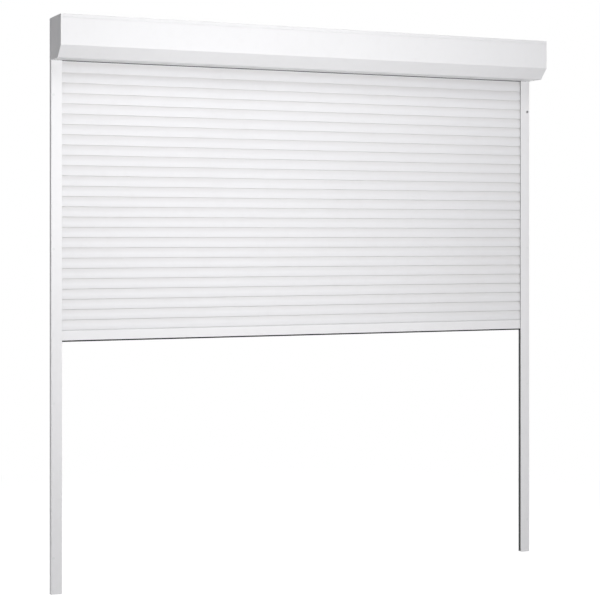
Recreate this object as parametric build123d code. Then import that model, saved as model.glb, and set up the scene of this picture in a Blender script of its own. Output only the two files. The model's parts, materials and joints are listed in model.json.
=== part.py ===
from build123d import *
import math
import os

# Exterior roller shutter: a 45 degree box over two guide rails, a tubular drive in an
# octagonal shaft, and a curtain of hollow interlocking slats that is lowered about half way.
# Millimetres. X runs along the box, the wall plane is Y = 0, the front is -Y and Z is up.
# The origin is the centre of the wall screw pattern.

# Overall
width = 1990.0
rail_length = 1910.0
box_height = 150.0
box_depth = 150.0
box_chamfer = 41.0
cut_over = 5.0

# Wall screws through the rails
screw_rows = 4
screw_lowest = 130.0
screw_highest_drop = 124.0
screw_pitch = (rail_length - screw_lowest - screw_highest_drop) / (screw_rows - 1)
screw_hole_radius = 3.2
access_hole_radius = 5.0
cap_clearance = 0.05
cap_depth = 3.0

# Guide rail
rail_width = 40.0
rail_depth = 20.0
rail_wall = 1.6
rail_corner = 0.8
slot_depth = 22.0
rear_lip = 4.0
front_lip = 2.8
lip_length = 8.0
groove_margin = 1.5
groove_width = 5.0
liner_wall = 1.0
liner_gap = 0.1
foot_cap_plate = 2.0
foot_cap_plug = 10.0
plug_clearance = 0.2

# Brush seal in each rail lip
brush_backing = 0.9
brush_backing_width = 4.6
brush_pile_width = 2.4
brush_seat_gap = 0.2
brush_tip_gap = 0.3

# Curtain slats, and how many of them hang below the roll
hanging_slats = 28
roll_leave_drop = 6.0
slat_pitch = 37.0
slat_thickness = 8.0
slat_wall = 0.8
slat_light_gap = 2.0
slat_end_gap = 4.0
slat_front_bottom_share = 0.94
slat_front_top_share = 0.525
slat_back_top_share = 0.125
slat_back_mid_share = 0.15
slat_crown_height_share = 0.4
slat_nose_radius = 0.9
lip_back = 3.4
lip_thickness = 1.0
lip_height = 2.7
hook_seat_gap = 0.3
hook_thickness = 1.2
hook_reach = 4.4
hook_tip_drop = 1.1
hook_round = 0.5
neck_back = 1.6
neck_thickness = 1.0
pocket_height = 8.2
clip_head = 1.6
clip_inset = 0.4
clip_plug = 14.0
clip_clearance = 0.2

# Bottom bar and its seal
bar_wall = 1.3
bar_corner = 1.0
seal_slot_width = 5.6
seal_slot_height = 2.8
seal_mouth_width = 3.4
seal_clearance = 0.2
seal_foot_width = 7.0
seal_foot_height = 5.0
bar_cap_plate = 2.0
bar_cap_plug = 10.0

# Box
sheet = 1.2
panel_bend = 2.5
top_flange = 11.0
tab_height = 9.0
tab_gap = 0.2
joggle_height = 2.0
seam_gap = 0.4
inlet_edge_depth = 21.5
inlet_hem = 8.0
relief_gap = 0.3

# End plates
plate_thickness = 3.0
plate_recess = 0.8
plate_border = 5.0
rim_depth = 12.0
rim_wall = 3.0
rim_gap = 0.15
peg_length = 50.0
peg_clearance = 0.4
peg_taper = 2.0

# Cover screws
cover_screw_shank = 1.75
cover_screw_head = 3.4
cover_screw_head_height = 1.6
cover_screw_length = 9.0
cover_screw_clearance = 0.25
cover_screw_edge = 6.0
cover_screw_depth_shares = (0.32, 0.62)

# Inlet guides
guide_front_gap = 2.3
guide_rear_gap = 2.3
guide_height = 26.0
guide_straight = 12.0
guide_flare = 5.0
guide_wall = 2.2
guide_web = 1.7
guide_edge_gap = 0.5
guide_back_gap = 0.3

# Shaft
shaft_across_flats = 40.0
shaft_wall = 1.0
shaft_sides = 8
shaft_end_left = 29.0
shaft_end_right = 25.0
fitting_clearance = 0.2

# Idler end
idler_plug = 40.0
idler_flange = 2.0
bearing_bore = 6.0
bearing_radius = 14.0
bearing_width = 8.0
bearing_seat_gap = 0.05
bracket_plate = 4.0
bracket_radius = 26.0
bracket_hub_wall = 4.0
bearing_back_gap = 0.5
idler_pin_end_gap = 1.5

# Motor end
motor_radius = 17.5
motor_length = 480.0
motor_head_radius = 21.0
motor_head_length = 12.0
motor_bracket_plate = 6.0
motor_bracket_radius = 28.0
motor_stud_side = 10.0
motor_stud_length = 4.0
inlet_boss_radius = 4.0
inlet_boss_length = 6.0
output_radius = 5.0
output_gap = 2.0
output_insert = 12.0
running_gap = 0.05
drive_wheel_length = 22.0
limit_ring_length = 18.0
limit_ring_flange = 2.0
limit_ring_gap = 0.06

# Wound part of the curtain
wound_seat_gap = 0.3
wound_turn = 8.3
wound_thickness = 7.6
wound_gap = 1.0
hanger_gap = 0.1
hanger_thickness = 0.85
hanger_width = 30.0
hanger_angle = 100.0
hanger_place_shares = (-0.8, -0.27, 0.27, 0.8)

# Places that follow from the sizes
foot_z = -(screw_lowest + screw_pitch * (screw_rows - 1) / 2)
box_z = foot_z + rail_length
half_width = width / 2
rail_inner_x = half_width - rail_width
plate_inner_x = half_width - plate_thickness
slot_end_x = rail_inner_x + slot_depth
slat_half = slot_end_x - slat_end_gap
slat_mid_depth = rail_depth / 2
slat_back_depth = slat_mid_depth - slat_thickness / 2
slat_front_depth = slat_mid_depth + slat_thickness / 2
shoulder = slat_pitch - slat_light_gap
hook_under = slat_pitch + lip_height + hook_seat_gap
hook_top = hook_under + hook_thickness
seam_z = box_z + box_height - top_flange - seam_gap
tab_depth = box_depth - sheet - tab_gap
shaft_depth = box_depth / 2
shaft_z = box_z + box_height / 2
bar_height = slat_pitch
bar_z = shaft_z - roll_leave_drop - slat_pitch * hanging_slats - bar_height
curtain_slats = math.ceil((shaft_z - foot_z - bar_height) / slat_pitch)
wound_slats = curtain_slats - hanging_slats
shaft_left_x = -half_width + shaft_end_left
shaft_right_x = half_width - shaft_end_right
motor_head_x = -plate_inner_x + motor_bracket_plate
motor_tube_x = motor_head_x + motor_head_length
motor_end_x = motor_tube_x + motor_length
idler_pin_radius = bearing_bore - running_gap
shaft_corner_radius = shaft_across_flats / 2 / math.cos(math.pi / shaft_sides)
hanger_inner_radius = shaft_corner_radius + hanger_gap
hanger_outer_radius = hanger_inner_radius + hanger_thickness
wound_inner_radius = hanger_outer_radius + wound_seat_gap + wound_thickness / 2


def at(depth, height):
    """A section point on the YZ plane from its depth in front of the wall and its height."""
    return (-depth, height)


def band(depth_0, depth_1, height_0, height_1):
    """A rectangle on the YZ plane between two depths and two heights."""
    wide, high = depth_1 - depth_0, height_1 - height_0
    return Pos(-(depth_0 + depth_1) / 2, (height_0 + height_1) / 2) * Rectangle(wide, high)


def patch(x_0, x_1, depth_0, depth_1):
    """A rectangle on the XY plane between two X values and two depths."""
    middle = Pos((x_0 + x_1) / 2, -(depth_0 + depth_1) / 2)
    return middle * Rectangle(x_1 - x_0, depth_1 - depth_0)


def prism_x(section, x_0, x_1):
    """A YZ section carried along X."""
    return extrude(Plane.YZ.offset(x_0) * section, amount=x_1 - x_0)


def prism_z(section, z_0, z_1):
    """An XY section carried up Z."""
    return extrude(Plane.XY.offset(z_0) * section, amount=z_1 - z_0)


def on_shaft(section):
    """Moves a section drawn about its own centre to the shaft's axis."""
    return Pos(-shaft_depth, shaft_z) * section


def mirrored(part):
    return mirror(part, about=Plane.YZ)


def rod_y(radius, x, z, depth_0, depth_1):
    """A round bar across the wall plane's normal, between two depths."""
    plane = Plane((x, -depth_1, z), x_dir=(1, 0, 0), z_dir=(0, 1, 0))
    return extrude(plane * Circle(radius), amount=depth_1 - depth_0)


def screw_heights():
    return [foot_z + screw_lowest + screw_pitch * row for row in range(screw_rows)]


# Guide rails


def slot_opening():
    """The curtain's channel in a right-hand rail, with its mouth and the brush grooves."""
    inside = (rail_wall, rail_depth - rail_wall)
    lips = (rear_lip, rail_depth - front_lip)
    groove = rail_inner_x + groove_margin
    chamber = patch(rail_inner_x + lip_length, slot_end_x, *inside)
    mouth = patch(rail_inner_x - cut_over, slot_end_x, *lips)
    grooves = patch(groove, groove + groove_width, *inside)
    return chamber + mouth + grooves


def channel_liner():
    """A plastic U along the channel's walls, on which the slats' end clips slide."""
    x_0, x_1 = rail_inner_x + lip_length + liner_gap, slot_end_x - liner_gap
    rear, front = rail_wall + liner_gap, rail_depth - rail_wall - liner_gap
    section = patch(x_0, x_1, rear, front)
    section -= patch(x_0, x_1 - liner_wall, rear + liner_wall, front - liner_wall)
    return prism_z(section, foot_z + foot_cap_plate, box_z - liner_gap)


def fixing_chamber(inset):
    """The closed chamber that takes the wall screws and the end plate's peg."""
    x_0, x_1 = slot_end_x + rail_wall + inset, half_width - rail_wall - inset
    return patch(x_0, x_1, rail_wall + inset, rail_depth - rail_wall - inset)


def rail_outline():
    outline = patch(rail_inner_x, half_width, 0, rail_depth)
    return fillet(outline.vertices(), rail_corner)


def fixing_x():
    return (slot_end_x + half_width) / 2


def guide_rail():
    section = rail_outline() - fixing_chamber(0) - slot_opening()
    rail = prism_z(section, foot_z + foot_cap_plate, box_z)
    for height in screw_heights():
        rail -= rod_y(screw_hole_radius, fixing_x(), height, -cut_over, rail_depth / 2)
        front = (rail_depth / 2, rail_depth + cut_over)
        rail -= rod_y(access_hole_radius, fixing_x(), height, *front)
    return rail


def foot_cap():
    plate = prism_z(rail_outline() - slot_opening(), foot_z, foot_z + foot_cap_plate)
    plug_z = foot_z + foot_cap_plate
    return plate + prism_z(fixing_chamber(plug_clearance), plug_z, plug_z + foot_cap_plug)


def hole_cap(side, height):
    """A flush plastic plug in a rail's access hole."""
    radius = access_hole_radius - cap_clearance
    x = side * fixing_x()
    return rod_y(radius, x, height, rail_depth - cap_depth, rail_depth)


def hole_caps():
    """Every access hole is capped but the top right one, which stands open."""
    heights = screw_heights()
    left = [hole_cap(-1, height) for height in heights]
    return left + [hole_cap(1, height) for height in heights[:-1]]


def brush(front):
    """A pile strip in the front or rear lip: a flat backing with a narrower pile."""
    middle = rail_inner_x + groove_margin + groove_width / 2
    seat = rail_wall + brush_seat_gap
    root = seat + brush_backing
    tip = slat_back_depth - brush_tip_gap
    depths = (seat, root, tip)
    if front:
        depths = (rail_depth - seat, rail_depth - root, slat_front_depth + brush_tip_gap)
    half, pile = brush_backing_width / 2, brush_pile_width / 2
    backing = patch(middle - half, middle + half, *sorted(depths[:2]))
    bristles = patch(middle - pile, middle + pile, *sorted(depths[1:]))
    return prism_z(backing + bristles, foot_z + foot_cap_plate, box_z)


# Curtain


def slat_body():
    """The slat's crowned outline without its hook, from its visible bottom up to the shoulder."""
    front = slat_thickness * slat_front_bottom_share
    top_front = slat_thickness * slat_front_top_share
    top_back = slat_thickness * slat_back_top_share
    crown = shoulder * slat_crown_height_share
    back_mid = slat_thickness * slat_back_mid_share
    edges = [
        ThreePointArc(at(front, 0), at(slat_thickness, crown), at(top_front, shoulder)),
        Line(at(top_front, shoulder), at(top_back, shoulder)),
        ThreePointArc(at(top_back, shoulder), at(back_mid, shoulder / 2), at(0, 0)),
        Line(at(0, 0), at(front, 0)),
    ]
    body = make_face(edges)
    nose = body.vertices().sort_by(Axis.X)[0:2].sort_by(Axis.Y)[0]
    return fillet(nose, slat_nose_radius)


def hook():
    """The neck and the forward hook that hang in the pocket of the slat above."""
    neck_front = neck_back + neck_thickness
    tip = neck_back + hook_reach
    neck = band(neck_back, neck_front, shoulder - slat_wall, hook_top)
    head = band(neck_back, tip, hook_under, hook_top)
    drop = band(tip - neck_thickness, tip, hook_under - hook_tip_drop, hook_top)
    shape = neck + head + drop
    crest = [v for v in shape.vertices() if v.Y > hook_top - hook_round]
    return fillet(crest, hook_round)


def slat_chamber():
    inner = offset(slat_body(), -slat_wall, kind=Kind.INTERSECTION)
    return inner & band(-cut_over, slat_thickness + cut_over, pocket_height + slat_wall, shoulder)


def slat_section():
    inner = offset(slat_body(), -slat_wall, kind=Kind.INTERSECTION)
    pocket = inner & band(-cut_over, slat_thickness + cut_over, 0, pocket_height)
    mouth = band(slat_wall, lip_back, -cut_over, slat_wall + hook_seat_gap)
    lip = band(lip_back, lip_back + lip_thickness, 0, lip_height)
    return slat_body() - slat_chamber() - pocket - mouth + lip + hook()


def hung(part, height):
    """Places a curtain piece drawn at the slat's own back face and bottom."""
    return Pos(0, -slat_back_depth, height) * part


def slat_bottom(number):
    return bar_z + bar_height + slat_pitch * (number - 1)


def clip():
    """A right-hand end clip: a head over the slat's end and a plug in its chamber."""
    head = offset(slat_body(), -clip_inset, kind=Kind.INTERSECTION)
    plug = offset(slat_chamber(), -clip_clearance, kind=Kind.INTERSECTION)
    solid = prism_x(plug, slat_half - clip_plug, slat_half)
    return solid + prism_x(head, slat_half, slat_half + clip_head)


def clips():
    """Every second slat is clipped, so that no slat can wander along its neighbour."""
    shape = clip()
    return [hung(shape, slat_bottom(n)) for n in range(1, hanging_slats + 1, 2)]


def seal_slot():
    half, mouth = seal_slot_width / 2, seal_mouth_width / 2
    middle = slat_thickness / 2
    top = bar_wall + seal_slot_height
    wide = band(middle - half, middle + half, bar_wall, top)
    return wide + band(middle - mouth, middle + mouth, -cut_over, bar_wall)


def bar_chamber(inset):
    low = bar_wall + seal_slot_height + bar_wall + inset
    side = bar_wall + inset
    return band(side, slat_thickness - side, low, shoulder - side)


def bar_body():
    body = band(0, slat_thickness, 0, shoulder)
    return fillet(body.vertices(), bar_corner)


def bottom_bar():
    section = bar_body() - bar_chamber(0) - seal_slot() + hook()
    return hung(prism_x(section, -slat_half, slat_half), bar_z)


def bottom_seal():
    """A rubber strip: a head in the bar's slot, a neck and a rounded foot."""
    middle, half = slat_thickness / 2, seal_foot_width / 2
    head, neck = seal_slot_width / 2 - seal_clearance, seal_mouth_width / 2 - seal_clearance
    low, top = bar_wall + seal_clearance, bar_wall + seal_slot_height - seal_clearance
    ends = (at(middle - half, 0), at(middle, -seal_foot_height), at(middle + half, 0))
    foot = make_face([ThreePointArc(*ends), Line(ends[2], ends[0])])
    section = foot + band(middle - neck, middle + neck, 0, low)
    section += band(middle - head, middle + head, low, top)
    return hung(prism_x(section, -slat_half, slat_half), bar_z)


def bar_cap():
    plate = prism_x(bar_body(), slat_half, slat_half + bar_cap_plate)
    plug = prism_x(bar_chamber(plug_clearance), slat_half - bar_cap_plug, slat_half)
    return hung(plate + plug, bar_z)


# Box


def box_outline(inset):
    """The box's pentagon with its folds' rounding, drawn inside its outer faces by the inset."""
    full = [
        at(0, box_z),
        at(0, box_z + box_height),
        at(box_depth, box_z + box_height),
        at(box_depth, box_z + box_chamfer),
        at(box_depth - box_chamfer, box_z),
    ]
    face = make_face(Polyline(*full, close=True))
    for corner in full[1:]:
        face = fillet(nearest(face, corner), panel_bend)
    return offset(face, -inset, kind=Kind.INTERSECTION) if inset else face


def nearest(section, point):
    return min(section.vertices(), key=lambda v: math.dist((v.X, v.Y), point))


def folded(section, folds):
    """Rounds each fold of a sheet's section, given as its outer and its inner corner."""
    for outer, inner in folds:
        section = fillet(nearest(section, outer), panel_bend)
        section = fillet(nearest(section, inner), panel_bend - sheet)
    return section


def top_panel():
    """Back, top and front flange in one folded sheet."""
    top = box_z + box_height
    outer = [at(0, box_z), at(0, top), at(box_depth, top), at(box_depth, top - top_flange)]
    inner = [
        at(box_depth - sheet, top - top_flange),
        at(box_depth - sheet, top - sheet),
        at(sheet, top - sheet),
        at(sheet, box_z),
    ]
    section = make_face(Polyline(*outer, *inner, close=True))
    section = folded(section, [(outer[1], inner[2]), (outer[2], inner[1])])
    return prism_x(section, -plate_inner_x, plate_inner_x)


def front_cover():
    """Front, chamfer and underside in one folded sheet, with a tab behind the top flange."""
    tab, tab_top = tab_depth, seam_z + tab_height
    bent = sheet * math.tan(math.pi / 8)
    knee = at(box_depth, box_z + box_chamfer)
    knee_inside = at(box_depth - sheet, box_z + box_chamfer + bent)
    heel = at(box_depth - box_chamfer, box_z)
    heel_inside = at(box_depth - box_chamfer - bent, box_z + sheet)
    hem = at(inlet_edge_depth, box_z)
    hem_inside = at(inlet_edge_depth + sheet, box_z + sheet)
    front_top = at(box_depth, seam_z - joggle_height)
    outer = [at(tab, tab_top), at(tab, seam_z), front_top, knee, heel, hem]
    inner = [
        at(inlet_edge_depth, box_z + inlet_hem),
        at(inlet_edge_depth + sheet, box_z + inlet_hem),
        hem_inside,
        heel_inside,
        knee_inside,
        at(box_depth - sheet, seam_z - joggle_height - bent),
        at(tab - sheet, seam_z - bent),
        at(tab - sheet, tab_top),
    ]
    section = make_face(Polyline(*outer, *inner, close=True))
    section = folded(section, [(knee, knee_inside), (heel, heel_inside), (hem, hem_inside)])
    cover = prism_x(section, -plate_inner_x, plate_inner_x)
    for x, depth in cover_screw_places():
        cover -= screw_bar(x, depth, cover_screw_shank + cover_screw_clearance)
    return cover


def cover_screw_places():
    flat = box_depth - box_chamfer
    depths = [flat * share for share in cover_screw_depth_shares]
    return [(side * (plate_inner_x - cover_screw_edge), d) for side in (-1, 1) for d in depths]


def screw_bar(x, depth, radius):
    return Pos(x, -depth, box_z) * Cylinder(radius, 2 * cover_screw_length)


def cover_screws():
    """Pan-head screws up through the underside into the end plates' rims."""
    screws = []
    for x, depth in cover_screw_places():
        head = Cylinder(cover_screw_head, cover_screw_head_height)
        shank = Cylinder(cover_screw_shank, cover_screw_length)
        screw = Pos(0, 0, -cover_screw_head_height / 2) * head
        screw += Pos(0, 0, cover_screw_length / 2) * shank
        screws.append(Pos(x, -depth, box_z) * screw)
    return screws


def cover_reliefs():
    """Notches in the rim for the cover's tab behind the flange and its hem at the inlet."""
    joggle = (seam_z - 2 * joggle_height, seam_z + box_height)
    tab = band(tab_depth - sheet - relief_gap, box_depth, *joggle)
    edges = (inlet_edge_depth - relief_gap, inlet_edge_depth + panel_bend + relief_gap)
    return tab + band(*edges, box_z, box_z + inlet_hem + relief_gap)


def end_plate():
    """A cast right-hand end plate: skin, rim, raised border and the peg that stands in the rail."""
    plate = prism_x(box_outline(0), plate_inner_x, half_width)
    field = box_outline(plate_border)
    plate -= prism_x(field, half_width - plate_recess, half_width + cut_over)
    outside = sheet + rim_gap
    ring = box_outline(outside) - box_outline(outside + rim_wall) - cover_reliefs()
    plate += prism_x(ring, plate_inner_x - rim_depth, plate_inner_x)
    x_0, x_1 = slot_end_x + rail_wall + peg_clearance, plate_inner_x
    depths = (rail_wall + peg_clearance, rail_depth - rail_wall - peg_clearance)
    peg = prism_z(patch(x_0, x_1, *depths), box_z - peg_length, box_z + outside + rim_wall)
    peg = chamfer(peg.faces().sort_by(Axis.Z)[0].edges(), peg_taper)
    plate += peg
    for x, depth in cover_screw_places()[2:]:
        plate -= screw_bar(x, depth, cover_screw_shank + running_gap)
    return plate


def inlet_guide():
    """A funnel on the right rail's top that leads the curtain off the roll into the channel."""
    front, rear = slat_front_depth + guide_front_gap, slat_back_depth - guide_rear_gap
    back = sheet + guide_back_gap
    top, mid = box_z + guide_height, box_z + guide_straight
    outside = inlet_edge_depth - guide_edge_gap
    horn = [
        Line(at(front, box_z), at(outside, box_z)),
        Line(at(outside, box_z), at(outside, mid)),
        Line(at(outside, mid), at(outside + guide_flare, top - guide_wall)),
        Line(at(outside + guide_flare, top - guide_wall), at(outside + guide_flare, top)),
        ThreePointArc(
            at(outside + guide_flare, top),
            at(front + guide_flare / 2, mid + guide_straight / 2),
            at(front, mid),
        ),
        Line(at(front, mid), at(front, box_z)),
    ]
    x_0, x_1 = rail_inner_x + guide_edge_gap, slot_end_x + guide_web
    tongue = Polyline(at(back, box_z), at(rear, box_z), at(rear, mid), at(back, top), close=True)
    guide = prism_x(make_face(horn), x_0, x_1) + prism_x(make_face(tongue), x_0, x_1)
    return guide + prism_x(band(back, outside, box_z, mid), slot_end_x + guide_back_gap / 2, x_1)


# Shaft and drive


def octagon(across_flats):
    flat = RegularPolygon(across_flats / 2, shaft_sides, major_radius=False)
    return on_shaft(Rot(0, 0, 180 / shaft_sides) * flat)


def disc(radius):
    return on_shaft(Circle(radius))


def shaft_bore():
    return shaft_across_flats - 2 * shaft_wall


def shaft_tube():
    section = octagon(shaft_across_flats) - octagon(shaft_bore())
    return prism_x(section, shaft_left_x, shaft_right_x)


def idler_cap():
    """An octagonal plug in the shaft's end with a flange and the bearing pin."""
    plug = octagon(shaft_bore() - 2 * fitting_clearance)
    flange_x = shaft_right_x + idler_flange
    pin_end = plate_inner_x - bracket_plate - idler_pin_end_gap
    solid = prism_x(plug, shaft_right_x - idler_plug, shaft_right_x)
    solid += prism_x(disc(shaft_across_flats / 2), shaft_right_x, flange_x)
    return solid + prism_x(disc(idler_pin_radius), flange_x, pin_end)


def bearing_place():
    end = plate_inner_x - bracket_plate - bearing_back_gap
    return end - bearing_width, end


def bearing():
    return prism_x(disc(bearing_radius - bearing_seat_gap) - disc(bearing_bore), *bearing_place())


def bearing_bracket():
    """A round plate on the end plate with the cup that holds the bearing."""
    face = plate_inner_x - bracket_plate
    cup = disc(bearing_radius + bracket_hub_wall) - disc(bearing_radius)
    return prism_x(disc(bracket_radius), face, plate_inner_x) + prism_x(cup, bearing_place()[0], face)


def square(side):
    return on_shaft(Rectangle(side, side))


def motor_bracket():
    plate = prism_x(disc(motor_bracket_radius), -plate_inner_x, motor_head_x)
    socket = square(motor_stud_side + 2 * fitting_clearance)
    return plate - prism_x(socket, motor_head_x - motor_stud_length - fitting_clearance, motor_head_x)


def motor_head():
    """The fixed head with its square stud and the inlet boss for the supply lead."""
    head = prism_x(disc(motor_head_radius), motor_head_x, motor_tube_x)
    head += prism_x(square(motor_stud_side), motor_head_x - motor_stud_length, motor_head_x)
    boss_x = (motor_head_x + motor_tube_x) / 2
    boss_y = motor_head_radius + inlet_boss_length / 2 - cap_clearance
    boss = Cylinder(inlet_boss_radius, inlet_boss_length + 2 * cap_clearance, rotation=(90, 0, 0))
    return head + Pos(boss_x, -shaft_depth - boss_y, shaft_z) * boss


def motor_body():
    body = prism_x(disc(motor_radius), motor_tube_x, motor_end_x)
    bore = disc(output_radius + running_gap)
    return body - prism_x(bore, motor_end_x - output_insert - running_gap, motor_end_x)


def drive_wheel():
    """The driver on the motor's output: an octagon that turns the shaft, with its stub."""
    wheel = octagon(shaft_bore() - 2 * fitting_clearance)
    start = motor_end_x + output_gap
    solid = prism_x(wheel, start, start + drive_wheel_length)
    return solid + prism_x(disc(output_radius), motor_end_x - output_insert, start)


def limit_ring():
    """The octagonal ring that carries the shaft's motor end on the motor tube."""
    hole = disc(motor_radius + limit_ring_gap)
    ring = octagon(shaft_bore() - 2 * fitting_clearance) - hole
    flange = disc(shaft_across_flats / 2) - hole
    solid = prism_x(ring, shaft_left_x, shaft_left_x + limit_ring_length)
    return solid + prism_x(flange, shaft_left_x - limit_ring_flange, shaft_left_x)


# Wound slats


def wound_point(length, rise):
    """A point on the roll, at a length along the curtain from where it leaves the roll."""
    outer = wound_inner_radius**2 + wound_turn * wound_slats * slat_pitch / math.pi
    radius = math.sqrt(outer - wound_turn * length / math.pi)
    angle = 2 * math.pi / wound_turn * (math.sqrt(outer) - radius)
    reach = radius + rise
    return (-shaft_depth + reach * math.cos(angle), shaft_z + reach * math.sin(angle))


def wound_shape(start, end, half_thickness):
    """A curved strip that follows the roll between two lengths along the curtain."""
    middle = (start + end) / 2
    outside = [wound_point(length, half_thickness) for length in (start, middle, end)]
    inside = [wound_point(length, -half_thickness) for length in (end, middle, start)]
    edges = [
        ThreePointArc(*outside),
        Line(outside[-1], inside[0]),
        ThreePointArc(*inside),
        Line(inside[-1], outside[0]),
    ]
    return make_face(edges)


def wound_slat(number):
    start = number * slat_pitch + wound_gap / 2
    end = (number + 1) * slat_pitch - wound_gap / 2
    half = wound_thickness / 2
    hollow = wound_shape(start + slat_wall, end - slat_wall, half - slat_wall)
    return prism_x(wound_shape(start, end, half) - hollow, -slat_half, slat_half)


def hangers():
    """Spring links that wrap the shaft and reach the first wound slat."""
    last = wound_point(wound_slats * slat_pitch, 0)
    start = math.degrees(math.atan2(last[1] - shaft_z, last[0] + shaft_depth))
    reach = 2 * hanger_outer_radius
    corners = [(0, 0)]
    for angle in (start, start + hanger_angle / 2, start + hanger_angle):
        turn = math.radians(angle)
        corners.append((reach * math.cos(turn), reach * math.sin(turn)))
    wedge = make_face(Polyline(*corners, close=True))
    strap = on_shaft((Circle(hanger_outer_radius) - Circle(hanger_inner_radius)) & wedge)
    half = hanger_width / 2
    middles = [slat_half * share for share in hanger_place_shares]
    return [prism_x(strap, middle - half, middle + half) for middle in middles]


def write(name, solids):
    """Writes one sub-part: a single solid, or several like ones as a group."""
    group = solids if isinstance(solids, list) else [solids]
    loose = [solid for item in group for solid in item.solids()]
    shape = loose[0] if len(loose) == 1 else Compound(children=loose)
    export_step(shape, f"parts/{name}.step")


def main():
    os.makedirs("parts", exist_ok=True)
    rail, plate, guide, cap = guide_rail(), end_plate(), inlet_guide(), foot_cap()
    write("rail_right", rail)
    write("rail_left", mirrored(rail))
    write("rail_foot_caps", [mirrored(cap), cap])
    write("rail_hole_caps", hole_caps())
    liner = channel_liner()
    write("channel_liners", [mirrored(liner), liner])
    for name, front in (("front", True), ("rear", False)):
        strip = brush(front)
        write(f"brush_right_{name}", strip)
        write(f"brush_left_{name}", mirrored(strip))
    write("end_plate_right", plate)
    write("end_plate_left", mirrored(plate))
    write("inlet_guide_right", guide)
    write("inlet_guide_left", mirrored(guide))
    write("box_top_panel", top_panel())
    write("box_front_cover", front_cover())
    write("cover_screws", cover_screws())
    write("motor_bracket", motor_bracket())
    write("motor_head", motor_head())
    write("motor_body", motor_body())
    write("bearing_bracket", bearing_bracket())
    write("bearing", bearing())
    write("shaft_tube", shaft_tube())
    write("limit_ring", limit_ring())
    write("drive_wheel", drive_wheel())
    write("idler_cap", idler_cap())
    write("curtain_hangers", hangers())
    write("wound_slats", [wound_slat(n) for n in range(wound_slats)])
    slat = prism_x(slat_section(), -slat_half, slat_half)
    for number in range(1, hanging_slats + 1):
        write(f"slat_{number:02d}", hung(slat, slat_bottom(number)))
    right = clips()
    write("slat_clips_right", right)
    write("slat_clips_left", [mirrored(item) for item in right])
    write("bottom_bar", bottom_bar())
    write("bottom_seal", bottom_seal())
    end_cap = bar_cap()
    write("bar_end_caps", [mirrored(end_cap), end_cap])


main()
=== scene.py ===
"""Looks for the exterior roller shutter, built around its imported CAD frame.

Metres, in the CAD's own axes: X along the box, the wall plane at Y = 0, the front towards -Y, Z up.
"""

from __future__ import annotations

import json
import logging
import math
from dataclasses import dataclass, field, replace
from enum import Enum
from typing import Any, Iterable, Sequence

import bmesh
import bpy
from mathutils import Matrix, Vector


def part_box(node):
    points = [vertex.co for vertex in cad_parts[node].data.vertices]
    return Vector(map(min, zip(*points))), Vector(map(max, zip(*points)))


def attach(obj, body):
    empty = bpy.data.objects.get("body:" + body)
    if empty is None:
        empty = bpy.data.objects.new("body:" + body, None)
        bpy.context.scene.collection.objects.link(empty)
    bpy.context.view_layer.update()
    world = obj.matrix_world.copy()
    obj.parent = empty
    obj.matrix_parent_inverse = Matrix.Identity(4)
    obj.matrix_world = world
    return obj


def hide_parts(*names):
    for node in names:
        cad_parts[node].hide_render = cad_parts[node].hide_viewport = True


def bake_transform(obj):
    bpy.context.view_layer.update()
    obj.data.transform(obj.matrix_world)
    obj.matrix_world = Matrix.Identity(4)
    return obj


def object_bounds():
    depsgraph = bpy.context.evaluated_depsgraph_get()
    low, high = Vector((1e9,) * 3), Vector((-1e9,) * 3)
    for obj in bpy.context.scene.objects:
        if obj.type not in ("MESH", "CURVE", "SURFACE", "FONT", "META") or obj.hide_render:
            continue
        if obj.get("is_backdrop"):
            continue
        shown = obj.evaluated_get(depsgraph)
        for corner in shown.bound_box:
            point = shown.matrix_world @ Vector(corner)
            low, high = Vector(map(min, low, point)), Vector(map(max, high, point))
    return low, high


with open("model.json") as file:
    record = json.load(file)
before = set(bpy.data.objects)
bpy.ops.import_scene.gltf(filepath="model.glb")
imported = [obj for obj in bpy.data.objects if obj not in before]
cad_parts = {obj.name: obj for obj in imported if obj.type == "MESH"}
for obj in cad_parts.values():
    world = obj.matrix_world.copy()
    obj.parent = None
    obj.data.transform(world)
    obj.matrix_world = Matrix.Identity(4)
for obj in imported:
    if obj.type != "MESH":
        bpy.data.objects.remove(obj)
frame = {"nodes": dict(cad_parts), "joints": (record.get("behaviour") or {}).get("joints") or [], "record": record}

log = logging.getLogger("shutter")
Colour = tuple[float, float, float]
Point = tuple[float, float, float]


class Grain(Enum):
    """The direction that a finish's fine marks follow."""

    NONE = "none"
    ALONG_X = "along x"
    ALONG_Z = "along z"
    TURNED = "turned about x"


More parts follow.
